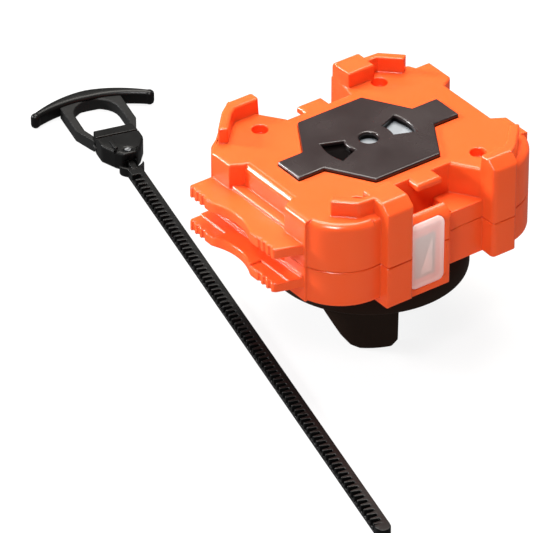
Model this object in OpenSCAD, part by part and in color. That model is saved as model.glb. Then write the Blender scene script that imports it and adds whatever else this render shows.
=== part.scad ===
// Spinning top launcher with a loose toothed winder.
// Millimetres. Z is the spin axis, with zero at the face that a top is seated against.
// The winder slot runs along X, and the window side faces -Y.

/* [Body] */
// Length of the body along the winder slot
body_l = 69.6; // [66:0.2:76]
// Width of the body across the winder slot
body_w = 60; // [58:0.2:64]
// Radius of the body's corners in plan
corner_r = 14; // [12:0.5:16]
// Wall of the body
wall = 2; // [1.6:0.1:2.4]
// Height of the body's underside over the seat
base_z = 11.6; // [11:0.1:12]
// Height of the plane where the two covers meet
parting_z = 21.7; // [21:0.1:22.4]
// Height of the deck over the seat
deck_z = 35.3; // [34.8:0.1:37]
// Depth of the hollow in each end of the body
end_recess_d = 3.4; // [2:0.1:4]
// Length of the flat part of that hollow
end_recess_l = 19; // [14:0.5:20]
// Length of each slope beside it
end_recess_slope = 2.6; // [1.5:0.1:3]
// Chamfer of the deck's edge along the end recess over the flanges
recess_chamfer = 1.3; // [0.2:0.1:1.6]
// Distance from the axis to the end of the flat pads beside the hollows
pad_y = 20.2; // [17:0.1:21]
// Radius of the corners' upper edge
drum_edge_r = 2; // [1:0.1:3]

/* [Sides] */
// Distance from the axis to the deck's edge at the middle of each side
notch_y = 20; // [19:0.1:21]
// Length of the deck's edge there, towards the narrow post
notch_near_l = 9.5; // [9:0.1:10]
// Length of the deck's edge there, towards the wide post
notch_far_l = 9.8; // [9:0.1:11]
// Height of the side shelf over the seat
shelf_z = 26.9; // [26:0.1:28]
// Distance from the axis to the side wall under the shelf
shelf_y = 28.1; // [27.5:0.1:29]
// Reach of the small tab past the deck's edge
tab_reach = 3.8; // [3:0.1:5]
// Ends of the tab along the side
tab_span = [-2.8, 4.9];
// Thickness of the tab
tab_t = 2; // [1.4:0.1:2.4]
// Ends of the window box along the side
box_span = [-10.2, 2.2];
// Distance from the axis to the window box's face
box_y = 31.2; // [30.6:0.1:32]
// Height of the window box's foot
box_foot_z = 8.8; // [8.6:0.1:10]
// Height of the window box's top
box_top_z = 31; // [30:0.1:32]
// Radius of the window box's upper edge
box_edge_r = 4; // [2:0.1:5]
// Thickness of the window box's face wall
box_wall = 3.4; // [3:0.1:3.6]
// End of the pocket under the tab, past the window box
pocket_end_x = 5; // [3:0.1:6]
// Height of the pocket's floor
pocket_floor_z = 17; // [15:0.5:19]

/* [Posts and ridges] */
// Height of the ridges over the deck
ridge_h = 4.3; // [2:0.1:5]
// Ends of the narrow post along the side
post_a_span = [-18.8, -10.7];
// Ends of the wide post along the side
post_b_span = [14.4, 22];
// Distance from the axis to the narrow post's face
post_a_y = 33; // [32.4:0.1:34]
// Distance from the axis to the wide post's face
post_b_y = 32.7; // [32.2:0.1:34]
// Distances from the axis to the narrow and the wide post's face on the far side
far_post_y = [29.6, 30.4];
// Distance from the axis to the inner edge of the narrow post's top
post_a_in = 22.4; // [21:0.1:25]
// Distance from the axis to the inner edge of the wide post's top
post_b_in = 26.8; // [26:0.1:28]
// Reach and drop of the slope along each post's outer top edge
post_slope = [3, 2.4];
// The same on the far side
far_post_slope = [0.6, 0.5];
// Height of the narrow posts' feet
post_a_foot_z = 9.8; // [9.4:0.1:10.4]
// Height of the wide posts' feet
post_b_foot_z = 11.6; // [11:0.1:12]
// Thickness of the corner ridges
ridge_t = 2.6; // [2:0.1:3.2]

/* [Deck] */
// Distances of the deck holes from the axis
deck_hole_at = [18.8, 20.4];
// Radius of the deck holes
deck_hole_r = 2.1; // [1.6:0.1:2.4]
// Depth of the deck holes
deck_hole_d = 2.4; // [1:0.1:3]
// Height of the black plate over the deck
plate_proud = 1; // [0.4:0.1:1.2]
// Depth that the plate is let into the deck
plate_sink = 1; // [0.6:0.1:1.2]
// Half length of the plate over its end tabs
plate_tab_x = 25; // [23:0.1:26]
// Half width of the plate's end tabs
plate_tab_y = 4.6; // [3:0.1:6]
// Half length of the plate at the root of its tabs
plate_root_x = 17.2; // [16:0.1:18]
// Half length of the plate's long side edges
plate_side_x = 10; // [8:0.1:11]
// Half width of the plate
plate_side_y = 16.4; // [15:0.1:17.5]
// Radius of the plate's centre hole
socket_r = 2.5; // [2:0.1:3]
// Radius to the inner side of each plate window
slot_in_r = 6.5; // [5.5:0.1:7]
// Radius to the outer side of each plate window
slot_out_r = 12.3; // [11:0.1:13]
// Angle from the middle of a plate window to its ends
slot_angle = 22; // [16:1:26]
// Thickness of the plate's floor under its closed window
plate_floor_t = 0.6; // [0.4:0.1:0.8]
// Thickness of the grey insert under the plate
insert_t = 0.8; // [0.6:0.1:1.2]

/* [Flanges] */
// Distance from the axis to the flanges' outer edge
flange_x = 42; // [40:0.1:44]
// Ends of the flanges along their edge
flange_span = [-17.4, 19];
// Undersides of the lower and the upper flange
flange_z = [15.4, 25.2];
// Thickness of the flanges
flange_t = 3; // [2.4:0.1:3.2]
// Number of grip ribs at each end of a flange
rib_n = 4; // [3:1:5]
// Spacing of the grip ribs
rib_pitch = 2.1; // [1.8:0.1:2.3]
// Depth of the grooves between the ribs
rib_d = 0.7; // [0.3:0.1:1]
// Depth of the finger hollow in the middle of a flange
hollow_d = 1.9; // [1:0.1:2.4]
// Distance from the axis to the edge of the lower flange's raised root
lower_root_x = 35.2; // [34.9:0.1:36.5]
// Distance from the axis to the edge of the upper one, in the end recess
upper_root_x = 34.2; // [32:0.1:34.6]
// Height of the raised root over the flange
root_step_h = 0.9; // [0.3:0.1:1]
// Distance from the axis to the inner edge of the lower flange's grip pads
pad_step_x = 38.4; // [37:0.1:39.5]
// Drop of the lower flange's grip pads
pad_step_h = 0.4; // [0.2:0.1:0.6]

/* [Drive] */
// Module of the rack and the gear
gear_module = 0.65; // [0.6:0.05:0.7]
// Number of teeth on the drive gear
gear_teeth = 20; // [19:1:21]
// Thickness of the drive gear
gear_t = 2.4; // [2:0.1:2.5]
// Radius of the spindle
spindle_r = 2; // [1.6:0.1:2.2]
// Radius of the hubs of the gear and the clutch collar
hub_r = 4.2; // [3.8:0.1:4.4]
// Wall of the two bushes
bush_wall = 2.2; // [1.6:0.1:2.4]
// Radial clearance of turning parts
run_gap = 0.05; // [0.02:0.01:0.08]
// End clearance between a turning and a fixed part
end_gap = 0.3; // [0.2:0.05:0.4]
// Height of the winder slot
slot_h = 4.4; // [4.3:0.1:4.8]
// Clearance of the winder in the width of its slot
slot_gap = 0.5; // [0.2:0.05:0.6]

/* [Launching head] */
// Radius of the head dish at its rim
dish_r = 25.9; // [25:0.1:26.6]
// Height of the dish
dish_h = 8.6; // [8.2:0.1:9]
// Wall of the dish
dish_wall = 1.6; // [1.2:0.1:2]
// Straight height at the dish's rim
dish_rim_h = 1.4; // [0.8:0.1:2]
// Radius of the dish's flat top
dish_top_r = 19.4; // [17:0.1:21]
// Outer radius of the launching hooks
hook_r = 18.6; // [17:0.1:19.4]
// Thickness of the hooks
hook_t = 3.2; // [2.4:0.1:3.6]
// Reach of the hooks below the seat
hook_reach = 15.1; // [13:0.1:17]
// Width of a hook at its root, each way from its middle line
hook_root = [-15.4, 7.8];
// Width of a hook at its foot, each way from its middle line
hook_foot = [-5.2, 7.6];
// Direction of the hooks about the axis
hook_angle = 233.7; // [225:0.1:240]
// Radius of the head's centre cap
cap_r = 5.8; // [5:0.1:6.2]

/* [Winder] */
// Length of the toothed strip
strip_l = 173; // [160:1:200]
// Width of the strip over its teeth
strip_w = 3.8; // [3.4:0.1:4.6]
// Thickness of the strip
strip_t = 2.6; // [2.4:0.1:3.4]
// Width of the strip's plain rail
rail_w = 1.5; // [1.2:0.1:2]
// Thickness of the web behind the teeth
web_t = 0.9; // [0.7:0.1:1.2]
// Half width of the crescent stop
stop_w = 3.6; // [3:0.1:4.5]
// Thickness of the crescent stop
stop_t = 1.1; // [0.9:0.1:1.6]
// Thickness of the neck
neck_t = 1.6; // [1.2:0.1:2]
// Length of the neck from the strip to the swivel pin
neck_l = 4.6; // [4:0.1:5]
// Radius of the swivel pin
pin_r = 0.8; // [0.6:0.05:1]
// Angle at which the handle lies turned on its pin
handle_turn = 0; // [-15:1:15]
// Place of the strip's tip on the floor
tip_at = [-56, -81.8];
// Direction of the strip from its tip
strip_angle = 75.3; // [70:0.1:80]

/* [Handle] */
// Length of the handle block
block_l = 14; // [12:0.2:16]
// Width of the handle block
block_w = 11.8; // [10:0.2:14]
// Height of the handle block
block_h = 5.4; // [4.8:0.1:7]
// Length, width and height of the rib on the handle block
block_rib = [4.2, 1.2, 0.5];
// Width and depth of the groove across the handle block
block_groove = [0.6, 0.4];
// Outer width of the ring frame
ring_w = 17.2; // [16:0.2:20]
// Width of the finger hole
ring_hole_w = 12.4; // [12:0.2:15]
// Length of the finger hole
ring_hole_l = 17.4; // [15:0.2:20]
// Height of the ring frame
ring_h = 3.4; // [3:0.1:4.6]
// Span of the pull bar
bar_span = 35; // [32:0.5:46]
// Rise of the curved pull bar from its ends to its middle
bar_rise = 5; // [3:0.1:7]
// Width of the pull bar at its middle
bar_w = 4.2; // [3.6:0.1:6]
// Width of the pull bar at its ends
bar_end_w = 2.6; // [2:0.1:3.5]
// Height of the pull bar
bar_h = 4.2; // [3.8:0.1:6]

/* [Hidden] */
$fn = 96;

orange = "#F0622A";
black = "#1E1A19";
plate_grey = "#4E4745";
pale_grey = "#B4B7BA";
frosted = [0.90, 0.78, 0.78, 0.8];
steel = "#A9ACB0";
brass = "#C9A45C";

over = 1;
skin = 0.05;
half_l = body_l / 2;
half_w = body_w / 2;
ridge_z = deck_z + ridge_h;
pocket_span = [box_span[0] + wall, pocket_end_x];
pocket_y = box_y - box_wall;

// Two-fold symmetry about the spin axis, as the body has it.
module both_ways() {
    children();
    rotate([0, 0, 180]) children();
}

// Extrudes a [y, z] profile along X between two places.
module along_x(span) {
    translate([span[0], 0, 0])
        rotate([90, 0, 90])
            linear_extrude(span[1] - span[0])
                children();
}

// Bodies between two heights.
module between(low, high) {
    translate([0, 0, low])
        linear_extrude(high - low)
            children();
}

function share(s) = [s[0] * half_l, s[1] * half_w];
function inset(p, t) = p - t * p / norm(p);

// Slanted far corners, from the pad round to the post.
far_right_shares = [[0.885, 0.674], [0.853, 0.750], [0.664, 0.900], [0.540, 0.987]];
far_left_shares = [[-0.618, 1.013], [-0.744, 0.935], [-0.862, 0.800], [-0.940, 0.735], [-1, 0.640]];

module far_cut(shares, side, t) {
    cut = [for (s = shares) inset(share(s), t)];
    corner = [side * (half_l + over), half_w + over];
    first = side > 0 ? [corner[0], cut[0][1]] : [cut[0][0], corner[1]];
    last = side > 0 ? [cut[len(cut) - 1][0], corner[1]] : [corner[0], cut[len(cut) - 1][1]];
    polygon(concat([first], cut, [last, corner]));
}

// Body plan, drawn in by t from the outer faces.
module body_plan(t) {
    difference() {
        union() {
            square([body_l - 2 * t, 2 * (pad_y - t)], center = true);
            square([body_l - 2 * corner_r, body_w - 2 * t], center = true);
            for (sx = [-1, 1], sy = [-1, 1])
                translate([sx * (half_l - corner_r), sy * (half_w - corner_r)])
                    circle(r = corner_r - t);
        }
        far_cut(far_right_shares, 1, t);
        far_cut(far_left_shares, -1, t);
        both_ways()
            polygon([
                [half_l - end_recess_d - t, -end_recess_l / 2 - t],
                [half_l + over, -end_recess_l / 2 - end_recess_slope - t],
                [half_l + over, end_recess_l / 2 + end_recess_slope + t],
                [half_l - end_recess_d - t, end_recess_l / 2 + t]
            ]);
    }
}

// Cut at the middle of each side above the shelf.
module deck_notch(t) {
    both_ways()
        polygon([
            [-notch_near_l - t, -notch_y + t],
            [notch_far_l + t, -notch_y + t],
            [post_b_span[0] + t, -post_b_in + t],
            [post_b_span[0] + t, -half_w - over],
            [post_a_span[1] - t, -half_w - over],
            [post_a_span[1] - t, -post_b_in + t]
        ]);
}

// Cut at the middle of each side below the shelf.
module shelf_notch(t) {
    both_ways()
        polygon([
            [post_a_span[1] - t, -shelf_y + t],
            [post_b_span[0] + t, -shelf_y + t],
            [post_b_span[0] + t, -half_w - over],
            [post_a_span[1] - t, -half_w - over]
        ]);
}

module upper_plan(t) {
    difference() {
        body_plan(t);
        deck_notch(t);
    }
}

module lower_plan(t) {
    difference() {
        body_plan(t);
        shelf_notch(t);
    }
}

// The uppermost layer of the body, where the near corners round over.
module deck_layer() {
    low = deck_z - drum_edge_r;
    flat_r = corner_r - drum_edge_r;
    intersection() {
        union() {
            between(low, deck_z) {
                square([body_l, 2 * pad_y], center = true);
                square([body_l - 2 * corner_r, body_w], center = true);
                translate([-half_l, 0]) square([body_l, half_w]);
            }
            for (side = [-1, 1])
                translate([side * (half_l - corner_r), corner_r - half_w])
                    rotate_extrude()
                        polygon(concat([[0, low]], arc([flat_r, low], drum_edge_r, 0, 90), [[0, deck_z]]));
        }
        between(low - over, deck_z + over) upper_plan(0);
    }
}

// Chamfer of the deck's edge along the end recess over the flanges.
module deck_chamfer() {
    edge = half_l - end_recess_d;
    mirror([1, 0, 0])
        rotate([90, 0, 0])
            linear_extrude(end_recess_l, center = true)
                polygon([
                    [edge - recess_chamfer - over, deck_z + over],
                    [edge + over, deck_z + over],
                    [edge + over, deck_z - recess_chamfer - over]
                ]);
}

// A post from its foot to its sloped top, with its inner edge on the deck.
module post(span, face_y, in_y, foot_z, slope) {
    along_x(span)
        polygon([
            [-face_y, foot_z],
            [-face_y, ridge_z - slope[1]],
            [-face_y + slope[0], ridge_z],
            [-in_y, ridge_z],
            [-in_y, deck_z - wall],
            [-notch_y - wall, deck_z - wall],
            [-notch_y - wall, foot_z]
        ]);
}

// The hollow of a post, open to the inside of the body.
module post_hollow(span, face_y) {
    along_x([span[0] + wall, span[1] - wall])
        polygon([
            [-face_y + wall, base_z + wall],
            [-face_y + wall, deck_z - wall],
            [-notch_y, deck_z - wall],
            [-notch_y, base_z + wall]
        ]);
}

module posts() {
    post(post_a_span, post_a_y, post_a_in, post_a_foot_z, post_slope);
    post(post_b_span, post_b_y, post_b_in, post_b_foot_z, post_slope);
    rotate([0, 0, 180]) {
        post(post_a_span, far_post_y[0], post_a_in, post_a_foot_z, far_post_slope);
        post(post_b_span, far_post_y[1], post_b_in, post_b_foot_z, far_post_slope);
    }
}

module post_hollows() {
    post_hollow(post_a_span, post_a_y);
    post_hollow(post_b_span, post_b_y);
    rotate([0, 0, 180]) {
        post_hollow(post_a_span, far_post_y[0]);
        post_hollow(post_b_span, far_post_y[1]);
    }
}

// Outer lines of the corner ridges.
ridge_a_shares = [[0.540, 0.900], [0.664, 0.890], [0.816, 0.722]];
ridge_b_shares = [[0.618, 1.010], [0.744, 0.900], [0.897, 0.707]];

// A corner ridge follows its outer line and is ridge_t thick.
module ridge(shares) {
    out = [for (s = shares) share(s)];
    polygon(concat(out, turned([for (p = out) inset(p, ridge_t)])));
}

module ridges() {
    between(deck_z - wall, ridge_z) {
        both_ways() {
            ridge(ridge_a_shares);
            mirror([0, 1, 0]) ridge(ridge_b_shares);
        }
    }
}

// Points along an arc, with its centre, radius and two angles.
arc_n = 12;

function arc(c, r, from, to) = [for (i = [0:arc_n])
    let (q = from + (to - from) * i / arc_n) [c[0] + r * cos(q), c[1] + r * sin(q)]];
function turned(list) = [for (i = [len(list) - 1:-1:0]) list[i]];

// Window box profile in [y, z], with its rounded upper edge.
box_edge_at = [-box_y + box_edge_r, box_top_z - box_edge_r];

module box_profile() {
    polygon(concat(
        [[-notch_y + wall, base_z], [-pocket_y, base_z], [-pocket_y, box_foot_z], [-box_y, box_foot_z]],
        arc(box_edge_at, box_edge_r, 180, 90),
        [[-notch_y + wall, box_top_z]]
    ));
}

module window_box() {
    along_x(box_span) box_profile();
}

module pocket() {
    between(pocket_floor_z, deck_z - tab_t)
        translate([pocket_span[0], -pocket_y])
            square([pocket_span[1] - pocket_span[0], pocket_y - notch_y]);
}

// Room inside the body, which leaves the pocket's walls standing.
module room_plan() {
    difference() {
        children();
        translate([box_span[0], -body_w])
            square([pocket_span[1] + wall - box_span[0], body_w - notch_y + wall]);
    }
}

module tabs() {
    both_ways()
        between(deck_z - tab_t, deck_z)
            translate([tab_span[0], -notch_y - tab_reach])
                square([tab_span[1] - tab_span[0], tab_reach + wall]);
}

// Flange plan: slanted ends, ribbed outer edge and a hollow in its middle.
flange_root_x = half_l - end_recess_d - wall;
flange_len = flange_span[1] - flange_span[0];
flange_mid = (flange_span[0] + flange_span[1]) / 2;
rib_run = rib_n * rib_pitch;
hollow_l = flange_len - 2 * rib_run - 2 * rib_pitch;
hollow_r = (pow(hollow_l / 2, 2) + pow(hollow_d, 2)) / (2 * hollow_d);

module flange_plan() {
    difference() {
        polygon([
            [-flange_root_x, flange_span[0] - rib_pitch],
            [-half_l, flange_span[0] - rib_pitch],
            [-flange_x + rib_d, flange_span[0]],
            [-flange_x, flange_span[0] + rib_d],
            [-flange_x, flange_span[1] - rib_d],
            [-flange_x + rib_d, flange_span[1]],
            [-flange_root_x, flange_span[1]]
        ]);
        translate([-flange_x + hollow_d - hollow_r, flange_mid])
            circle(r = hollow_r);
        for (i = [1:rib_n - 1])
            for (end = [flange_span[0] + i * rib_pitch, flange_span[1] - i * rib_pitch])
                translate([-flange_x - rib_d / 2, end])
                    circle(r = rib_d, $fn = 24);
    }
}

// The lower flange's raised root runs along all of it, the upper one's fills the end recess.
root_x = [lower_root_x, upper_root_x];
root_l = [body_w, end_recess_l + 2 * end_recess_slope];

module flange(i) {
    between(flange_z[i], flange_z[i] + flange_t) flange_plan();
    between(flange_z[i], flange_z[i] + flange_t + root_step_h)
        intersection() {
            flange_plan();
            translate([-root_x[i], -root_l[i] / 2]) square([root_x[i], root_l[i]]);
        }
}

// The lower flange's grip pads lie a little lower than the rest of it.
module pad_steps() {
    between(flange_z[0] + flange_t - pad_step_h, flange_z[0] + flange_t + over)
        difference() {
            translate([-flange_x - over, -half_w]) square([flange_x + over - pad_step_x, body_w]);
            translate([-flange_x - over, flange_mid - hollow_l / 2]) square([flange_x, hollow_l]);
        }
}

// The winder's slot is tangent to the gear, on the window side of the axis.
pitch_r = gear_module * gear_teeth / 2;
tip_r = pitch_r + gear_module;
root_share = 1.25;
root_r = pitch_r - root_share * gear_module;
slot_high_y = gear_module - pitch_r + slot_gap / 2;
slot_low_y = slot_high_y - strip_w - slot_gap;
slot_low_z = parting_z - slot_h / 2;
slot_high_z = parting_z + slot_h / 2;

module winder_slot() {
    translate([-flange_x - over, slot_low_y, slot_low_z])
        cube([flange_x + body_l, slot_high_y - slot_low_y, slot_h]);
}

// Screw towers under the deck holes.
tower_r = 4.2;
screw_r = 1.3;
screw_head_r = 2.6;
screw_head_h = 1.9;
screw_seat_z = base_z + 2.6;
screw_end_z = parting_z + 7;
screw_gap = 0.06;

module at_towers() {
    for (sx = [-1, 1], sy = [-1, 1])
        translate([sx * deck_hole_at[0], sy * deck_hole_at[1], 0])
            children();
}

// Heights on the spindle.
shoulder_t = 1.2;
shoulder_r = 5;
washer_t = 0.5;
shoulder_z = dish_h + shoulder_t;
washer_z = shoulder_z + washer_t;
lower_bush_z = washer_z + end_gap;
gear_z = slot_low_z + web_t + end_gap;
lower_hub_h = 2.2;
upper_hub_h = 2.2;
lower_bush_top_z = gear_z - lower_hub_h - end_gap;
gear_top_z = gear_z + gear_t + upper_hub_h;
collar_z = gear_top_z + end_gap / 2;
collar_h = 2.2;
upper_bush_z = collar_z + collar_h + end_gap;
bush_r = spindle_r + run_gap + bush_wall;
upper_bush_top_z = deck_z - wall - plate_sink;
spindle_top_z = upper_bush_top_z - end_gap;
spring_wall = 0.8;
ceiling_t = 2;

module top_cover() {
    color(orange)
    difference() {
        union() {
            difference() {
                union() {
                    between(parting_z, shelf_z) lower_plan(0);
                    between(shelf_z, deck_z - drum_edge_r) upper_plan(0);
                    deck_layer();
                    intersection() {
                        union() {
                            posts();
                            window_box();
                        }
                        between(parting_z, ridge_z + over) square(2 * body_l, center = true);
                    }
                    ridges();
                    tabs();
                    flange(1);
                }
                between(parting_z - over, shelf_z - wall) room_plan() lower_plan(wall);
                between(parting_z - over, deck_z - wall) room_plan() upper_plan(wall);
                post_hollows();
            }
            between(upper_bush_z, deck_z - over) circle(r = bush_r + wall);
            at_towers() between(parting_z, deck_z - over) circle(r = tower_r);
            between(deck_z - wall - ceiling_t, deck_z - over) circle(r = slot_out_r + wall);
        }
        pocket();
        winder_slot();
        between(upper_bush_z - over, upper_bush_top_z) circle(r = bush_r + screw_gap);
        at_towers() {
            between(parting_z - over, screw_end_z + over) circle(r = screw_r + screw_gap);
            between(deck_z - deck_hole_d, deck_z + over) circle(r = deck_hole_r);
        }
        between(deck_z - plate_sink, deck_z + over) plate_plan();
        between(deck_z - plate_sink - insert_t, deck_z) insert_plan();
        between(deck_z - plate_sink - insert_t, deck_z) circle(r = socket_r + wall);
        window_recess();
        deck_chamfer();
    }
}

module bottom_cover() {
    color(orange)
    difference() {
        union() {
            difference() {
                union() {
                    between(base_z, parting_z) lower_plan(0);
                    intersection() {
                        union() {
                            posts();
                            window_box();
                        }
                        between(0, parting_z) square(2 * body_l, center = true);
                    }
                    flange(0);
                }
                between(base_z + wall, parting_z + over) room_plan() lower_plan(wall);
                post_hollows();
            }
            between(lower_bush_z, lower_bush_top_z) circle(r = bush_r + wall);
            at_towers() between(base_z, parting_z) circle(r = tower_r);
        }
        pocket();
        winder_slot();
        pad_steps();
        between(base_z - over, lower_bush_top_z + over) circle(r = bush_r + screw_gap);
        at_towers() {
            between(base_z - over, screw_seat_z) circle(r = screw_head_r + 2 * screw_gap);
            between(base_z, parting_z + over) circle(r = screw_r + 2 * screw_gap);
        }
        window_recess();
    }
}

// Plan of the black plate: a hexagon with a tab at each end.
module plate_plan() {
    polygon([
        [plate_tab_x, -plate_tab_y],
        [plate_tab_x, plate_tab_y],
        [plate_root_x, plate_tab_y],
        [plate_side_x, plate_side_y],
        [-plate_side_x, plate_side_y],
        [-plate_root_x, plate_tab_y],
        [-plate_tab_x, plate_tab_y],
        [-plate_tab_x, -plate_tab_y],
        [-plate_root_x, -plate_tab_y],
        [-plate_side_x, -plate_side_y],
        [plate_side_x, -plate_side_y],
        [plate_root_x, -plate_tab_y]
    ]);
}

// A window of the plate: part of a ring on the slot's line.
module plate_window(grow) {
    intersection() {
        difference() {
            circle(r = slot_out_r + grow);
            circle(r = slot_in_r - grow);
        }
        polygon([
            [0, -grow],
            [slot_out_r + wall, -(slot_out_r + wall) * tan(slot_angle) - grow],
            [slot_out_r + wall, (slot_out_r + wall) * tan(slot_angle) + grow],
            [0, grow]
        ]);
    }
}

module insert_plan() {
    plate_window(wall);
    translate([0, -socket_r - wall]) square([slot_in_r, 2 * (socket_r + wall)]);
}

module top_plate() {
    color(plate_grey)
    difference() {
        between(deck_z - plate_sink, deck_z + plate_proud)
            difference() {
                plate_plan();
                circle(r = socket_r);
                plate_window(0);
            }
        between(deck_z - plate_sink + plate_floor_t, deck_z + plate_proud + over)
            rotate([0, 0, 180]) plate_window(0);
    }
}

module plate_insert() {
    color(pale_grey)
    between(deck_z - plate_sink - insert_t, deck_z - plate_sink) {
        insert_plan();
        circle(r = socket_r + wall);
    }
}

// The window lies in the box's face and curls over its upper edge.
window_t = 1.2;
window_span = [box_span[0] + skin, box_span[1] - wall];
window_low_z = box_foot_z + wall;
window_arc = 40;
window_r = 1.8;
window_top_z = box_edge_at[1] + box_edge_r * sin(window_arc);
arrow_t = 1.2;
arrow_inset = 2;
arrow_rim = 0.9;
arrow_z = [window_low_z + arrow_inset, box_edge_at[1] - arrow_inset];
arrow_span = [window_span[0] + arrow_inset, window_span[1] - arrow_inset];

module window_section(proud) {
    polygon(concat(
        [[-box_y - proud, window_low_z]],
        arc(box_edge_at, box_edge_r + proud, 180, 180 - window_arc),
        turned(arc(box_edge_at, box_edge_r - window_t, 180, 180 - window_arc)),
        [[-box_y + window_t, window_low_z]]
    ));
}

// The window's outline from the front, with round corners.
module window_front() {
    w = window_span[1] - window_span[0];
    h = window_top_z - window_low_z;
    translate([window_span[0], window_low_z]) {
        translate([window_r, 0]) square([w - 2 * window_r, h]);
        translate([0, window_r]) square([w, h - 2 * window_r]);
        for (x = [window_r, w - window_r], z = [window_r, h - window_r])
            translate([x, z]) circle(r = window_r);
    }
}

module window_solid(proud) {
    intersection() {
        along_x(window_span) window_section(proud);
        rotate([90, 0, 0]) linear_extrude(box_y + 2 * over) window_front();
    }
}

module window_recess() {
    window_solid(over);
    translate([arrow_span[0], -box_y + window_t - skin, arrow_z[0]])
        cube([arrow_span[1] - arrow_span[0], arrow_t + skin, arrow_z[1] - arrow_z[0]]);
}

module window() {
    color(frosted)
    window_solid(0);
}

module window_arrow() {
    color(pale_grey)
    translate([0, -box_y + window_t + arrow_t, 0])
        rotate([90, 0, 0])
            linear_extrude(arrow_t)
                difference() {
                    translate([arrow_span[0], arrow_z[0]])
                        square([arrow_span[1] - arrow_span[0], arrow_z[1] - arrow_z[0]]);
                    polygon([
                        [arrow_span[0] + 2 * arrow_rim, arrow_z[0] + arrow_rim],
                        [arrow_span[1] - arrow_rim, arrow_z[0] + arrow_rim],
                        [arrow_span[1] - arrow_rim, arrow_z[1] - arrow_rim]
                    ]);
                }
}

// A shelf under the strip and a fence behind it, standing on the bottom cover.
guide_t = 1.4;
guide_l = 2 * (flange_root_x - tower_r);

module winder_guide() {
    color(black)
    difference() {
        translate([-guide_l / 2, slot_low_y - guide_t, base_z + wall])
            cube([guide_l, guide_t, slot_high_z - base_z - wall]);
        winder_slot();
    }
    color(black)
    difference() {
        translate([-guide_l / 2, slot_low_y, slot_low_z - guide_t])
            cube([guide_l, slot_high_y - slot_low_y, guide_t]);
        between(0, deck_z) circle(r = bush_r + wall + end_gap);
    }
}

module bush(low, high) {
    color(brass)
    between(low, high)
        difference() {
            circle(r = bush_r);
            circle(r = spindle_r + run_gap);
        }
}

module upper_bush() bush(upper_bush_z, upper_bush_top_z);
module lower_bush() bush(lower_bush_z, lower_bush_top_z);

module housing_screws() {
    color(steel)
    at_towers() {
        difference() {
            between(screw_seat_z - screw_head_h, screw_seat_z) circle(r = screw_head_r);
            for (turn = [0, 90])
                rotate([0, 0, turn])
                    between(screw_seat_z - screw_head_h - over, screw_seat_z - screw_head_h / 2)
                        square([screw_head_r, screw_r / 2], center = true);
        }
        between(screw_seat_z, screw_end_z) circle(r = screw_r);
    }
}

// Steel spindle with a shoulder that the head is drawn against.
head_screw_r = 1.2;
head_screw_l = 8;

module spindle() {
    color(steel)
    difference() {
        union() {
            between(dish_h, shoulder_z) circle(r = shoulder_r);
            between(dish_h, spindle_top_z) circle(r = spindle_r);
        }
        between(dish_h - over, dish_h + head_screw_l) circle(r = head_screw_r + screw_gap);
    }
}

module clutch_collar() {
    color(steel)
    between(collar_z, collar_z + collar_h)
        difference() {
            circle(r = hub_r);
            circle(r = spindle_r);
        }
}

// Sleeve of the closely wound clutch spring, round the gear's hub and the collar.
module clutch_spring() {
    color(steel)
    between(gear_z + gear_t + end_gap, collar_z + collar_h)
        difference() {
            circle(r = hub_r + run_gap + spring_wall);
            circle(r = hub_r + run_gap);
        }
}

module thrust_washer() {
    color(brass)
    between(shoulder_z, washer_z)
        difference() {
            circle(r = shoulder_r);
            circle(r = spindle_r + run_gap);
        }
}

// Bowl section, from the rim at the seat's level up to the flat top, drawn in by t.
module bowl_section(t) {
    polygon(concat(
        [[0, 0], [dish_r - t, 0]],
        [for (q = [0:6:90])
            [dish_top_r + (dish_r - dish_top_r - t) * cos(q), dish_rim_h + (dish_h - dish_rim_h - t) * sin(q)]],
        [[0, dish_h - t]]
    ));
}

module head_dish() {
    color(black)
    difference() {
        rotate_extrude() bowl_section(0);
        translate([0, 0, -skin]) rotate_extrude() bowl_section(dish_wall);
        between(0, dish_h + over) circle(r = head_screw_r + screw_gap);
    }
}

carrier_z = dish_h - dish_wall - skin;
carrier_t = 2.4;
hub_low_z = 0;
cap_t = 1.2;
screw_cap_h = 2;
carrier_hub_r = cap_r + wall;

// Side outline of one hook, across and down.
module hook_side() {
    polygon([
        [hook_root[0], carrier_z],
        [hook_root[0], 0],
        [hook_foot[0] - hook_t / 2, -hook_reach + hook_t],
        [hook_foot[0] + hook_t / 4, -hook_reach + hook_t / 4],
        [hook_foot[0] + hook_t, -hook_reach],
        [hook_foot[1] - hook_t / 2, -hook_reach],
        [hook_foot[1], -hook_reach + hook_t / 2],
        [hook_root[1], 0],
        [hook_root[1], carrier_z]
    ]);
}

module hook_carrier() {
    color(black)
    difference() {
        union() {
            between(carrier_z - carrier_t, carrier_z) circle(r = hook_r);
            between(hub_low_z, carrier_z) circle(r = carrier_hub_r);
            intersection() {
                between(-hook_reach, carrier_z)
                    difference() {
                        circle(r = hook_r);
                        circle(r = hook_r - hook_t);
                    }
                rotate([0, 0, hook_angle])
                    for (turn = [0, 180])
                        rotate([0, 0, turn])
                            rotate([90, 0, 90])
                                linear_extrude(hook_r) hook_side();
            }
        }
        between(hub_low_z - over, cap_t) circle(r = cap_r + run_gap);
        between(hub_low_z, cap_t + screw_cap_h) circle(r = screw_head_r + 2 * screw_gap);
        between(hub_low_z, carrier_z + over) circle(r = head_screw_r + screw_gap);
    }
}

module head_screw() {
    color(steel) {
        between(cap_t, cap_t + screw_cap_h) circle(r = screw_head_r);
        between(cap_t + screw_cap_h, dish_h + head_screw_l - over) circle(r = head_screw_r);
    }
}

module hub_cap() {
    color(black)
    between(hub_low_z, cap_t) circle(r = cap_r);
}

// One tooth of the gear, as four points from root to tip and back.
tooth_shares = [-0.30, -0.12, 0.12, 0.30];

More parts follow.
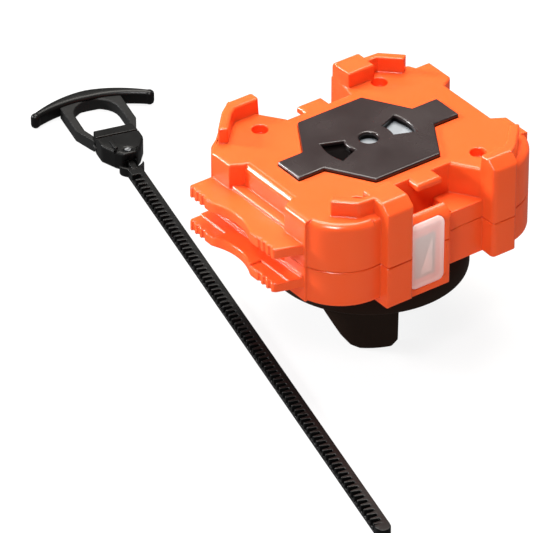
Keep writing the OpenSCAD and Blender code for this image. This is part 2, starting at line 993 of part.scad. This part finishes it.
module gear_plan() {
    step = 360 / gear_teeth;
    polygon([
        for (i = [0:gear_teeth - 1])
            for (k = [0:len(tooth_shares) - 1])
                let (r = k == 0 || k == len(tooth_shares) - 1 ? root_r : tip_r)
                let (a = (i + tooth_shares[k]) * step - 90)
                [r * cos(a), r * sin(a)]
    ]);
}

module drive_gear() {
    color(pale_grey)
    difference() {
        union() {
            between(gear_z, gear_z + gear_t) gear_plan();
            between(gear_z - lower_hub_h, gear_z) circle(r = hub_r - bush_wall / 2);
            between(gear_z + gear_t, gear_top_z) circle(r = hub_r);
        }
        between(gear_z - lower_hub_h - over, gear_top_z + over) circle(r = spindle_r + run_gap);
    }
}

// Winder, drawn with its tip at zero along X and laid on the floor.
floor_z = -hook_reach;
strip_pitch = PI * gear_module;
tip_share = 0.8;
tip_l = strip_w * tip_share;
teeth_n = floor((strip_l - tip_l - stop_w) / strip_pitch);
neck_low = (block_h - neck_t) / 2 - (block_h - strip_t) / 4;
eye_wall = 1.2;
eye_r = pin_r + eye_wall;
swivel_x = strip_l + neck_l;

module on_floor() {
    translate([tip_at[0], tip_at[1], floor_z])
        rotate([0, 0, strip_angle])
            children();
}

module on_swivel() {
    on_floor()
        translate([swivel_x, 0, 0])
            rotate([0, 0, handle_turn])
                children();
}

tooth_root_share = 0.62;
tooth_tip_share = 0.46;

module rack_teeth() {
    for (i = [0:teeth_n - 1])
        translate([tip_l + i * strip_pitch, rail_w - strip_w / 2])
            polygon([
                [0, -skin],
                [strip_pitch * tooth_root_share, -skin],
                [strip_pitch * tooth_tip_share, strip_w - rail_w],
                [strip_pitch * (tooth_root_share - tooth_tip_share), strip_w - rail_w]
            ]);
}

module strip_plan() {
    translate([tip_l - skin, -strip_w / 2]) square([strip_l - tip_l + skin, rail_w]);
    polygon(concat(arc([strip_w / 2, 0], strip_w / 2, 90, 270), [[tip_l, -strip_w / 2], [tip_l, strip_w / 2]]));
    translate([strip_l - stop_w, -strip_w / 2]) square([stop_w, strip_w]);
}

module winder_strip() {
    color(black)
    on_floor()
        difference() {
            union() {
                between(0, strip_t) {
                    strip_plan();
                    rack_teeth();
                }
                between(0, web_t)
                    translate([strip_w / 2, -strip_w / 2]) square([strip_l - strip_w / 2, strip_w]);
                between(0, strip_t) stop_plan();
                between(neck_low, neck_low + neck_t) {
                    translate([strip_l - over, -pin_r]) square([neck_l + over, 2 * pin_r]);
                    translate([swivel_x, 0]) circle(r = eye_r);
                }
            }
            between(-over, block_h) translate([swivel_x, 0]) circle(r = pin_r + run_gap);
        }
}

// The stop: a thin crescent across the strip's end whose tips point at the handle.
stop_arc = 112;

module stop_plan() {
    polygon(concat(
        arc([strip_l + stop_w - stop_t, 0], stop_w, stop_arc, 360 - stop_arc),
        turned(arc([strip_l + stop_w, 0], stop_w, stop_arc, 360 - stop_arc))
    ));
}

module swivel_pin() {
    color(steel)
    on_swivel()
        between(skin, block_h - skin) circle(r = pin_r);
}

// Handle block: wide where it meets the ring and rounded towards the strip.
block_start = -eye_r;
block_shares = [[0, 0.34], [0.14, 0.62], [0.42, 1], [0.72, 1], [1, 0.92]];
block_end = block_start + block_l;

module block_plan() {
    polygon(concat(
        [for (s = block_shares) [block_start + s[0] * block_l, s[1] * block_w / 2]],
        [for (i = [len(block_shares) - 1:-1:0])
            [block_start + block_shares[i][0] * block_l, -block_shares[i][1] * block_w / 2]]
    ));
}

module handle_block() {
    color(black)
    on_swivel()
        difference() {
            union() {
                between(0, block_h) block_plan();
                translate([pin_r + wall, block_w / 4, block_h + block_rib[2] / 2])
                    cube([block_rib[0], block_rib[1], 2 * block_rib[2]], center = true);
            }
            translate([block_end - tongue_l, 0, block_h])
                cube([block_groove[0], block_w, 2 * block_groove[1]], center = true);
            between(neck_low - end_gap, neck_low + neck_t + end_gap)
                rotate([0, 0, -handle_turn]) neck_room();
            between(-over, block_h + over) circle(r = pin_r);
            tongue();
        }
}

// Room in the block for the neck to swing.
swing = 15;

module neck_room() {
    circle(r = eye_r + end_gap);
    for (turn = [-swing, 0, swing])
        rotate([0, 0, turn])
            translate([-neck_l, -pin_r - end_gap])
                square([neck_l, 2 * (pin_r + end_gap)]);
}

// Ring frame: a tongue in the block and two arms from the block round the finger hole, up to the bar.
ring_low = block_end - (ring_w - ring_hole_w) / 2;
ring_high = block_end + ring_hole_l;
ring_shares = [[0, 0.68], [0.32, 1], [1, 1]];
hole_shares = [[0, 0.8], [0.2, 1]];

function ring_point(s, side) = [ring_low + s[0] * (ring_high + bar_rise / 2 - ring_low), side * s[1] * ring_w / 2];
function hole_point(s, side) = [block_end + s[0] * ring_hole_l, side * s[1] * ring_hole_w / 2];

module ring_outer() {
    polygon(concat(
        [for (s = ring_shares) ring_point(s, 1)],
        turned([for (s = ring_shares) ring_point(s, -1)])
    ));
}

module finger_hole() {
    polygon(concat(
        [for (s = hole_shares) hole_point(s, 1)],
        arc([ring_high - ring_hole_w / 2, 0], ring_hole_w / 2, 90, -90),
        turned([for (s = hole_shares) hole_point(s, -1)])
    ));
}

tongue_l = 4;
tongue_z = [ring_h / 3, 2 * ring_h / 3];

module tongue() {
    between(tongue_z[0], tongue_z[1])
        translate([block_end - tongue_l, -ring_hole_w / 2])
            square([tongue_l, ring_hole_w]);
}

module ring_frame() {
    color(black)
    on_swivel() {
        between(0, ring_h)
            difference() {
                ring_outer();
                finger_hole();
                block_plan();
                bar_plan();
            }
        tongue();
    }
}

// Pull bar: a bow from tip to tip, thickest at its middle.
bar_x = ring_high;
bar_steps = 24;

function bar_mid(q) = [bar_x + bar_rise * (1 - q * q) - bar_rise / 2, q * (bar_span - bar_end_w) / 2];
function bar_half(q) = (bar_w + (bar_end_w - bar_w) * abs(q)) / 2;

module bar_plan() {
    qs = [for (i = [-bar_steps / 2:bar_steps / 2]) 2 * i / bar_steps];
    polygon(concat(
        [for (q = qs) bar_mid(q) + [bar_half(q), 0]],
        [for (i = [len(qs) - 1:-1:0]) bar_mid(qs[i]) - [bar_half(qs[i]), 0]]
    ));
    for (q = [-1, 1])
        translate(bar_mid(q)) circle(d = bar_end_w);
}

module pull_bar() {
    color(black)
    on_swivel()
        between(0, bar_h)
            difference() {
                bar_plan();
                finger_hole();
            }
}

top_cover();
bottom_cover();
top_plate();
plate_insert();
window();
window_arrow();
winder_guide();
upper_bush();
lower_bush();
housing_screws();
spindle();
clutch_collar();
clutch_spring();
thrust_washer();
head_dish();
hook_carrier();
head_screw();
hub_cap();
drive_gear();
winder_strip();
swivel_pin();
handle_block();
ring_frame();
pull_bar();
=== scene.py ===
import math

import bmesh
import bpy
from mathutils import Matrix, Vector
from mathutils.bvhtree import BVHTree


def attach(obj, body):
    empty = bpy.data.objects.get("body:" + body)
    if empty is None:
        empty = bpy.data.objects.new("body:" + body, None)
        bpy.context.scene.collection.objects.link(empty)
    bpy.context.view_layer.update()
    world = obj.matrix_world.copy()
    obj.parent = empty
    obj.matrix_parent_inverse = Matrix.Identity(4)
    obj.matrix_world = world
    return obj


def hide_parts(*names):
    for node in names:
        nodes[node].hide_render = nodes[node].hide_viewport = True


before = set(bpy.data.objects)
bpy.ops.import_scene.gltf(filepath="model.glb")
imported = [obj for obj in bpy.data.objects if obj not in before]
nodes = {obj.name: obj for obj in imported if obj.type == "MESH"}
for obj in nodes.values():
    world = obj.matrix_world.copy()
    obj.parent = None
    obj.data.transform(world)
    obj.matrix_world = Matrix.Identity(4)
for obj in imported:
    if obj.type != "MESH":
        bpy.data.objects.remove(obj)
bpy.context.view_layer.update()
mm = 0.001


def linear(hexColour):
    parts = [int(hexColour[i:i + 2], 16) / 255 for i in (1, 3, 5)]
    return tuple(c / 12.92 if c <= 0.04045 else ((c + 0.055) / 1.055) ** 2.4
                 for c in parts) + (1,)


def grey(level):
    return (level, level, level, 1)


def addNode(tree, kind, inputs=None, **settings):
    node = tree.nodes.new(kind)
    for key, value in settings.items():
        setattr(node, key, value)
    for key, value in (inputs or {}).items():
        if isinstance(value, bpy.types.NodeSocket):
            tree.links.new(value, node.inputs[key])
        else:
            node.inputs[key].default_value = value
    return node


# a new material's node tree, its shader and the piece's own coordinates
def newMaterial(name):
    material = bpy.data.materials.new(name)
    material.use_nodes = True
    tree = material.node_tree
    place = addNode(tree, "ShaderNodeTexCoord").outputs["Object"]
    return material, tree, tree.nodes["Principled BSDF"], place


# lengths in mm: grain and cloud sizes, edgeMm for the soft edges, softBeyondMm along -X from
# where the edges get softer, and the height of the painted shade, under which the colour is
# darkened and the reflections are cut
mouldedPlastics = {
    "orange_moulded_plastic": dict(
        colour="#F35E2C", shade="#EE5625", roughness=0.2, roughnessSpread=0.06, specular=0.3,
        coat=0.0, coatRoughness=0.07, grainMm=0.35, grainDepthMm=0.004, cloudMm=22,
        edgeMm=0.5, softBeyondMm=39.5, subsurface=0.2),
    "orange_lower_cover_plastic": dict(
        colour="#F15C2B", shade="#EC5424", roughness=0.2, roughnessSpread=0.06, specular=0.3,
        coat=0.0, coatRoughness=0.07, grainMm=0.35, grainDepthMm=0.004, cloudMm=22,
        edgeMm=0.5, softBeyondMm=39.5, subsurface=0.2),
    "dark_grey_satin_plastic": dict(
        colour="#2A2020", shade="#241B1B", roughness=0.26, roughnessSpread=0.1, specular=0.42,
        coat=0.16, coatRoughness=0.1, grainMm=0.25, grainDepthMm=0.005, cloudMm=14,
        edgeMm=0.3, paintedShadeBelowMm=35.6),
    "light_grey_plastic": dict(
        colour="#8F9499", shade="#83888E", roughness=0.45, roughnessSpread=0.08, specular=0.4,
        coat=0.0, coatRoughness=0.3, grainMm=0.3, grainDepthMm=0.005, cloudMm=8, edgeMm=0.15),
    "warm_grey_plastic": dict(
        colour="#5C5049", shade="#544942", roughness=0.5, roughnessSpread=0.08, specular=0.4,
        coat=0.0, coatRoughness=0.3, grainMm=0.3, grainDepthMm=0.005, cloudMm=6, edgeMm=0.15),
    "black_head_plastic": dict(
        colour="#2A1F19", shade="#221813", roughness=0.42, roughnessSpread=0.12,
        specular=0.12, ior=1.2, coat=0.0, coatRoughness=0.2, grainMm=0.3,
        grainDepthMm=0.006, cloudMm=12, edgeMm=0.4),
    "black_winder_plastic": dict(
        colour="#0E0E0E", shade="#090909", roughness=0.34, roughnessSpread=0.12,
        specular=0.15, coat=0.04, coatRoughness=0.22, grainMm=0.25, grainDepthMm=0.008,
        cloudMm=9, edgeMm=0.3),
    "dark_grey_ring_plastic": dict(
        colour="#191919", shade="#131313", roughness=0.5, roughnessSpread=0.1, specular=0.16,
        coat=0.0, coatRoughness=0.3, grainMm=0.25, grainDepthMm=0.012, cloudMm=9, edgeMm=0.3),
}
scatterRadius = (1.0, 0.35, 0.12)
scatterMm = 1.6
paintedShadeShare = 0.12
paintedShadeStepMm = 0.2
softEdgeMm = 1.0
softStepMm = 1
cloudLow, cloudHigh = 0.3, 0.7
grainStrength = 0.6


# slow colour clouds, uneven gloss and a fine spark-eroded grain
def mouldedPlastic(name, colour, shade, roughness, roughnessSpread, specular, coat,
                   coatRoughness, grainMm, grainDepthMm, cloudMm, edgeMm, ior=1.5,
                   subsurface=0.0, paintedShadeBelowMm=None, softBeyondMm=None):
    material, tree, shader, place = newMaterial(name)
    clouds = addNode(tree, "ShaderNodeTexNoise", {
        "Vector": place, "Scale": 1 / (cloudMm * mm), "Detail": 3.0})
    mix = addNode(tree, "ShaderNodeMix", {"Factor": clouds.outputs["Fac"]}, data_type="RGBA")
    mix.inputs["A"].default_value = linear(shade)
    mix.inputs["B"].default_value = linear(colour)
    tree.links.new(mix.outputs["Result"], shader.inputs["Base Color"])
    gloss = addNode(tree, "ShaderNodeMapRange", {
        "Value": clouds.outputs["Fac"], "From Min": cloudLow, "From Max": cloudHigh,
        "To Min": roughness - roughnessSpread / 2, "To Max": roughness + roughnessSpread / 2})
    tree.links.new(gloss.outputs["Result"], shader.inputs["Roughness"])
    shader.inputs["Subsurface Weight"].default_value = subsurface
    shader.inputs["Subsurface Radius"].default_value = scatterRadius
    shader.inputs["Subsurface Scale"].default_value = scatterMm * mm
    shader.inputs["Specular IOR Level"].default_value = specular
    shader.inputs["IOR"].default_value = ior
    shader.inputs["Coat Weight"].default_value = coat
    shader.inputs["Coat Roughness"].default_value = coatRoughness
    # painted shade: under this height the colour fades towards black and the coat and specular
    # are cut, darkening the plate's window floors and its sides sunk in the deck's recess as
    # shade would
    if paintedShadeBelowMm:
        height = addNode(tree, "ShaderNodeSeparateXYZ", {"Vector": place})
        above = addNode(tree, "ShaderNodeMapRange", {
            "Value": height.outputs["Z"], "From Min": (paintedShadeBelowMm - paintedShadeStepMm) * mm,
            "From Max": paintedShadeBelowMm * mm, "To Min": paintedShadeShare})
        paintedShadeColour = addNode(tree, "ShaderNodeMix", {"Factor": above.outputs["Result"]},
                         data_type="RGBA")
        paintedShadeColour.inputs["A"].default_value = grey(0)
        tree.links.new(mix.outputs["Result"], paintedShadeColour.inputs["B"])
        tree.links.new(paintedShadeColour.outputs["Result"], shader.inputs["Base Color"])
        for socket, level in (("Coat Weight", coat), ("Specular IOR Level", specular)):
            shadedReflection = addNode(tree, "ShaderNodeMath", {0: above.outputs["Result"], 1: level},
                             operation="MULTIPLY")
            tree.links.new(shadedReflection.outputs["Value"], shader.inputs[socket])
    grain = addNode(tree, "ShaderNodeTexNoise", {
        "Vector": place, "Scale": 1 / (grainMm * mm), "Detail": 2.0})
    softEdge = addNode(tree, "ShaderNodeBevel", {"Radius": edgeMm * mm}, samples=6)
    if softBeyondMm:
        along = addNode(tree, "ShaderNodeSeparateXYZ", {"Vector": place})
        softer = addNode(tree, "ShaderNodeMapRange", {
            "Value": along.outputs["X"], "From Min": -softBeyondMm * mm,
            "From Max": -(softBeyondMm + softStepMm) * mm,
            "To Min": edgeMm * mm, "To Max": softEdgeMm * mm})
        tree.links.new(softer.outputs["Result"], softEdge.inputs["Radius"])
    bump = addNode(tree, "ShaderNodeBump", {
        "Height": grain.outputs["Fac"], "Normal": softEdge.outputs["Normal"],
        "Strength": grainStrength, "Distance": grainDepthMm * mm})
    tree.links.new(bump.outputs["Normal"], shader.inputs["Normal"])
    return material


materials = {name: mouldedPlastic(name, **look) for name, look in mouldedPlastics.items()}

turnedMetals = {
    "turned_steel": dict(colour="#B3B6BA", roughness=0.28),
    "turned_brass": dict(colour="#C9A45C", roughness=0.26),
}
ringMm = 4
ringStrength = 0.3
ringDepthMm = 0.01
polishSpread = (-0.06, 0.08)


# fine rings round the axis and uneven polish
def turnedMetal(name, colour, roughness):
    material, tree, shader, place = newMaterial(name)
    shader.inputs["Metallic"].default_value = 1
    shader.inputs["Base Color"].default_value = linear(colour)
    rings = addNode(tree, "ShaderNodeTexWave", {
        "Vector": place, "Scale": 1 / (ringMm * mm), "Distortion": 1.5, "Detail": 2.0},
        wave_type="RINGS", rings_direction="Z")
    gloss = addNode(tree, "ShaderNodeMapRange", {
        "Value": rings.outputs["Fac"], "To Min": roughness + polishSpread[0],
        "To Max": roughness + polishSpread[1]})
    tree.links.new(gloss.outputs["Result"], shader.inputs["Roughness"])
    bump = addNode(tree, "ShaderNodeBump", {
        "Height": rings.outputs["Fac"], "Strength": ringStrength,
        "Distance": ringDepthMm * mm})
    tree.links.new(bump.outputs["Normal"], shader.inputs["Normal"])
    return material


for name, look in turnedMetals.items():
    materials[name] = turnedMetal(name, **look)

frosted = dict(
    colour="#EBCBC4", milk="#FFF6F3", milkFromMm=14, milkToMm=27, roughness=0.26,
    roughnessSpread=0.06, frostMm=3, solidity=0.52, glow=0.2, paintedGlowColour=(1, 0.6, 0.52, 1),
    coat=0.4)


# partly see-through and whiter towards the top, with a painted glow in its emission that stands
# in for the light the orange housing lets in
def frostedPlastic(name, colour, milk, milkFromMm, milkToMm, roughness, roughnessSpread,
                   frostMm, solidity, glow, paintedGlowColour, coat):
    material, tree, shader, place = newMaterial(name)
    height = addNode(tree, "ShaderNodeSeparateXYZ", {"Vector": place})
    blend = addNode(tree, "ShaderNodeMapRange", {
        "Value": height.outputs["Z"], "From Min": milkFromMm * mm, "From Max": milkToMm * mm})
    mix = addNode(tree, "ShaderNodeMix", {"Factor": blend.outputs["Result"]},
                  data_type="RGBA")
    mix.inputs["A"].default_value = linear(colour)
    mix.inputs["B"].default_value = linear(milk)
    tree.links.new(mix.outputs["Result"], shader.inputs["Base Color"])
    frost = addNode(tree, "ShaderNodeTexNoise", {
        "Vector": place, "Scale": 1 / (frostMm * mm), "Detail": 2.0})
    gloss = addNode(tree, "ShaderNodeMapRange", {
        "Value": frost.outputs["Fac"], "To Min": roughness - roughnessSpread / 2,
        "To Max": roughness + roughnessSpread / 2})
    tree.links.new(gloss.outputs["Result"], shader.inputs["Roughness"])
    shader.inputs["Alpha"].default_value = solidity
    # painted glow: this emission stands in for light let in through the orange housing; the
    # window is no lamp
    shader.inputs["Emission Color"].default_value = paintedGlowColour
    shader.inputs["Emission Strength"].default_value = glow
    shader.inputs["Coat Weight"].default_value = coat
    return material


materials["frosted_window_plastic"] = frostedPlastic("frosted_window_plastic", **frosted)
print("stage: materials done")


def setActive(piece):
    bpy.ops.object.select_all(action="DESELECT")
    piece.select_set(True)
    bpy.context.view_layer.objects.active = piece


def applyModifier(piece, kind, **settings):
    setActive(piece)
    modifier = piece.modifiers.new(kind.lower(), kind)
    for key, value in settings.items():
        setattr(modifier, key, value)
    bpy.ops.object.modifier_apply(modifier=modifier.name)


def finishPiece(piece, look, body):
    setActive(piece)
    piece.data.materials.clear()
    piece.data.materials.append(materials[look])
    bpy.ops.object.shade_smooth_by_angle(angle=math.radians(smoothDegrees))
    applyModifier(piece, "WEIGHTED_NORMAL", keep_sharp=True)
    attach(piece, body)


# the working limits of the bevels, lengths in mm
smoothDegrees = 40
sharpDegrees = 26
flatDegrees = 0.6
bevelSegments = 3
widestRoomMm = 5
strayMm = 0.05
strayShare = 0.36


# a copy of a CAD node as one merged mesh with its flat faces joined, but for the cuts
# through its holes
def mergedCopy(node, name, cuts):
    piece = bpy.data.objects.new(name, nodes[node].data.copy())
    bpy.context.scene.collection.objects.link(piece)
    piece.matrix_world = nodes[node].matrix_world
    setActive(piece)
    bpy.ops.mesh.customdata_custom_splitnormals_clear()
    mesh = bmesh.new()
    mesh.from_mesh(piece.data)
    bmesh.ops.remove_doubles(mesh, verts=mesh.verts, dist=0.002 * mm)
    for point, normal in cuts:
        cut = bmesh.ops.bisect_plane(
            mesh, geom=mesh.verts[:] + mesh.edges[:] + mesh.faces[:], dist=0.0005 * mm,
            plane_co=[c * mm for c in point], plane_no=normal)
        for edge in cut["geom_cut"]:
            if isinstance(edge, bmesh.types.BMEdge):
                edge.seam = True
    bmesh.ops.dissolve_limit(
        mesh, angle_limit=math.radians(flatDegrees), verts=mesh.verts, edges=mesh.edges,
        delimit={"SEAM"})
    mesh.to_mesh(piece.data)
    mesh.free()
    return piece


# the longest radius in mm that an edge's neighbours leave room for
def roomAt(edge):
    lengths = [widestRoomMm * mm]
    for corner in edge.verts:
        along = (edge.other_vert(corner).co - corner.co).normalized()
        for other in corner.link_edges:
            if other is edge:
                continue
            leaning = along.dot((other.other_vert(corner).co - corner.co).normalized())
            if leaning > 0.85:
                lengths.append(other.calc_length() * 0.8 * math.sqrt(max(0, 1 - leaning ** 2)))
            elif leaning > -0.85:
                lengths.append(other.calc_length() * 0.44)
    return min(lengths) / mm


# a bevel throws a corner too far where edges meet at a flat angle: such corners are dissolved
def dropStrays(mesh, skin, deepest):
    strays = []
    for corner in mesh.verts:
        nearest, normal, _, away = skin.find_nearest(corner.co)
        outside = (corner.co - nearest).dot(normal) > strayMm * mm
        if outside or away > deepest:
            strays.append(corner)
    bmesh.ops.dissolve_verts(mesh, verts=strays)
    return len(strays)


# a merged CAD copy whose sharp outer edges are rounded, with a radius from radiusAt
def bevelled(node, name, radiusAt, widest, cuts):
    piece = mergedCopy(node, name, cuts)
    mesh = bmesh.new()
    mesh.from_mesh(piece.data)
    floats = mesh.edges.layers.float
    weights = floats.get("bevel_weight_edge") or floats.new("bevel_weight_edge")
    sharp = math.radians(sharpDegrees)
    for edge in mesh.edges:
        if len(edge.link_faces) == 2 and edge.calc_face_angle() > sharp and edge.is_convex:
            middle = (edge.verts[0].co + edge.verts[1].co) / 2 / mm
            edge[weights] = min(radiusAt(middle, edge), roomAt(edge)) / widest
    skin = BVHTree.FromBMesh(mesh)
    mesh.to_mesh(piece.data)
    mesh.free()
    applyModifier(piece, "BEVEL", width=widest * mm, segments=bevelSegments,
                  limit_method="WEIGHT", use_clamp_overlap=False, profile=0.5)
    mesh = bmesh.new()
    mesh.from_mesh(piece.data)
    bmesh.ops.remove_doubles(mesh, verts=mesh.verts, dist=0.004 * mm)
    bmesh.ops.dissolve_degenerate(mesh, edges=mesh.edges, dist=0.002 * mm)
    strays = dropStrays(mesh, skin, strayShare * widest * mm)
    bmesh.ops.triangulate(mesh, faces=[f for f in mesh.faces if len(f.verts) > 4])
    mesh.to_mesh(piece.data)
    mesh.free()
    print("stage:", name, "bevelled,", strays, "strays dropped")
    return piece


# where the holes are, in mm: cuts through their axes keep their walls apart
deckHoleAt = (18.8, 20.4)
stripFoot = (-56, -81.8)
pinReach = 177.6
stripTurn = math.radians(75.3)
alongX, alongY = (1, 0, 0), (0, 1, 0)
alongStrip = (math.cos(stripTurn), math.sin(stripTurn), 0)
acrossStrip = (-math.sin(stripTurn), math.cos(stripTurn), 0)
pinPlace = (stripFoot[0] + pinReach * alongStrip[0], stripFoot[1] + pinReach * alongStrip[1], 0)
middleCuts = [((0, 0, 0), alongX), ((0, 0, 0), alongY)]
holeCuts = [((side * deckHoleAt[0], 0, 0), alongX) for side in (-1, 1)]
holeCuts += [((0, side * deckHoleAt[1], 0), alongY) for side in (-1, 1)]
coverCuts = middleCuts + holeCuts
pinCuts = [(pinPlace, acrossStrip), (pinPlace, alongStrip)]

# the covers' landmarks and the radii of their edges, in mm
deckZ = 35.3
baseZ = 11.6
windowX = -4
frontY = -30
coverEdges = dict(
    ridge=0.6, rightEnd=0.6, deckHole=0.25, plateSeat=0.25, windowSeat=0.0, overFlange=1.7,
    deck=1.2, frontCorner=1.4, base=0.8, baseUnderWindow=0.3, other=0.45)


def coverRadius(place, edge):
    start, end = edge.verts[0].co / mm, edge.verts[1].co / mm
    upright = abs(start.z - end.z) > 0.8 * (start - end).length
    atDeck = place.z > deckZ - 0.2
    fromHole = math.hypot(abs(place.x) - deckHoleAt[0], abs(place.y) - deckHoleAt[1])
    fromWindow = abs(place.x - windowX)
    if place.z > deckZ + 1.5:
        return coverEdges["ridge"]
    if place.x > 27 and atDeck:
        return coverEdges["rightEnd"]
    if fromHole < 2.6 and place.z > deckZ - 3:
        return coverEdges["deckHole"]
    if atDeck and abs(place.x) < 26 and abs(place.y) < 19:
        return coverEdges["plateSeat"]
    if fromWindow < 8.5 and frontY - 1 < place.y < frontY + 6:
        return coverEdges["windowSeat"]
    if atDeck and abs(place.y) < 12.5:
        return coverEdges["overFlange"]
    if atDeck or (place.y < frontY and place.z > deckZ - 4):
        return coverEdges["deck"]
    if upright and place.y < frontY:
        return coverEdges["frontCorner"]
    if place.z < baseZ + 0.2:
        underWindow = fromWindow < 7 and place.y < frontY - 0.5
        return coverEdges["baseUnderWindow" if underWindow else "base"]
    return coverEdges["other"]


# radius is the widest radius of a piece's edges in mm
bevelledPieces = {
    "topCoverShell": dict(
        node="top_cover", radius=1.7, radiusAt=coverRadius, look="orange_moulded_plastic",
        body="housing", slot="housing", cuts=coverCuts),
    "bottomCoverShell": dict(
        node="bottom_cover", radius=1.7, radiusAt=coverRadius,
        look="orange_lower_cover_plastic", body="housing", slot="housing", cuts=coverCuts),
    "topPlate": dict(
        node="top_plate", radius=0.45, look="dark_grey_satin_plastic", body="housing",
        slot="plate", cuts=middleCuts),
    "frostedWindow": dict(
        node="window", radius=0.3, look="frosted_window_plastic", body="housing",
        slot="window", cuts=[]),
    "headDish": dict(
        node="head_dish", radius=0.5, look="black_head_plastic", body="head",
        slot="black_plastic", cuts=middleCuts),
    "hookCarrier": dict(
        node="hook_carrier", radius=0.4, look="black_head_plastic", body="head",
        slot="black_plastic", cuts=middleCuts),
    "winderStrip": dict(
        node="winder_strip", radius=0.18, look="black_winder_plastic", body="winder",
        slot="winder", cuts=pinCuts),
    "handleBlock": dict(
        node="handle_block", radius=0.8, look="black_winder_plastic", body="handle",
        slot="winder", cuts=pinCuts),
    "ringFrame": dict(
        node="ring_frame", radius=0.5, look="dark_grey_ring_plastic", body="handle",
        slot="winder", cuts=pinCuts),
    "pullBar": dict(
        node="pull_bar", radius=1.1, look="black_winder_plastic", body="handle",
        slot="winder", cuts=pinCuts),
}
for name, plan in bevelledPieces.items():
    radiusAt = plan.get("radiusAt") or (lambda place, edge: plan["radius"])
    piece = bevelled(plan["node"], name, radiusAt, plan["radius"], plan["cuts"])
    finishPiece(piece, plan["look"], plan["body"])
    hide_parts(plan["node"])
print("stage: bevelled pieces done")

carried = {
    "plate_insert": "light_grey_plastic", "window_arrow": "warm_grey_plastic",
    "winder_guide": "black_head_plastic", "upper_bush": "turned_brass",
    "lower_bush": "turned_brass", "housing_screws": "turned_steel", "spindle": "turned_steel",
    "clutch_collar": "turned_steel", "clutch_spring": "turned_steel",
    "thrust_washer": "turned_brass", "head_screw": "turned_steel",
    "hub_cap": "black_head_plastic", "drive_gear": "light_grey_plastic",
    "swivel_pin": "turned_steel",
}
for node, look in carried.items():
    nodes[node].data.materials.clear()
    nodes[node].data.materials.append(materials[look])
print("stage: carried pieces done")

# a white table with a glow of its own, as the photo's ground is pure white
table = dict(z=-15.12 * mm, size=6, level=0.09, glow=0.87, roughness=0.9)
bpy.ops.mesh.primitive_plane_add(size=table["size"], location=(0, 0, table["z"]))
floor = bpy.context.object
floor.name = "studioFloor"
floorMaterial = bpy.data.materials.new("lit_white_acrylic_table")
floorMaterial.use_nodes = True
floorShader = floorMaterial.node_tree.nodes["Principled BSDF"]
floorShader.inputs["Base Color"].default_value = grey(table["level"])
floorShader.inputs["Emission Color"].default_value = grey(1)
floorShader.inputs["Emission Strength"].default_value = table["glow"]
floorShader.inputs["Roughness"].default_value = table["roughness"]
floor.data.materials.append(floorMaterial)
floor.visible_glossy = False

# from far off, so that the view is nearly parallel: plateTop is the height of the plate's
# middle in mm, and plateAt its distance in pixels from the picture's middle
photoPixels = 533
pixelsPerMm = 4
plateTop = 36.3
plateAt = (102.2, 129.1)
azimuth, elevation = math.radians(-36.3), math.radians(33.9)
distance = 1.5
right = Vector((math.cos(azimuth), math.sin(azimuth), 0))
back = Vector((math.sin(azimuth) * math.cos(elevation),
               -math.cos(azimuth) * math.cos(elevation), math.sin(elevation)))
up = back.cross(right)
centre = (Vector((0, 0, plateTop * mm)) - right * (plateAt[0] / pixelsPerMm * mm)
          - up * (plateAt[1] / pixelsPerMm * mm))
cameraData = bpy.data.cameras.new("photoCamera")
camera = bpy.data.objects.new("photoCamera", cameraData)
bpy.context.scene.collection.objects.link(camera)
camera.location = centre + back * distance
camera.rotation_euler = (math.pi / 2 - elevation, 0, azimuth)
cameraData.sensor_width = 36
cameraData.lens = cameraData.sensor_width * distance / (photoPixels / pixelsPerMm * mm)
cameraData.clip_end = 20
bpy.context.scene.camera = camera

studioLights = {
    "topSoftbox": dict(place=(0.25, 0.35, 1.15), size=0.9, power=30.0, colour="#FFFBF4"),
    "backLeftSoftbox": dict(place=(-0.70, 0.79, 0.47), size=0.24, power=19.0,
                            colour="#FFFFFF"),
    "frontLeftSoftbox": dict(place=(-0.52, -0.34, 0.9), size=0.2, power=5.5,
                             colour="#FFFFFF"),
    "frontLeftGlow": dict(place=(-0.52, -0.34, 0.9), size=0.36, power=12.0,
                          colour="#FFFFFF", glossOnly=True),
}
lightsAimAt = Vector((0, 0, 0.02))
worldLevel = 0.15
for name, light in studioLights.items():
    data = bpy.data.lights.new(name, "AREA")
    data.shape = "SQUARE"
    data.size = light["size"]
    data.energy = light["power"]
    data.color = linear(light["colour"])[:3]
    lamp = bpy.data.objects.new(name, data)
    bpy.context.scene.collection.objects.link(lamp)
    lamp.location = light["place"]
    lamp.visible_diffuse = not light.get("glossOnly", False)
    lamp.rotation_euler = (lightsAimAt - lamp.location).to_track_quat("-Z", "Y").to_euler()

world = bpy.data.worlds.new("paleStudio")
bpy.context.scene.world = world
world.use_nodes = True
world.node_tree.nodes["Background"].inputs["Color"].default_value = grey(1)
world.node_tree.nodes["Background"].inputs["Strength"].default_value = worldLevel
bpy.context.scene.view_settings.view_transform = "Standard"
print("stage: studio done")
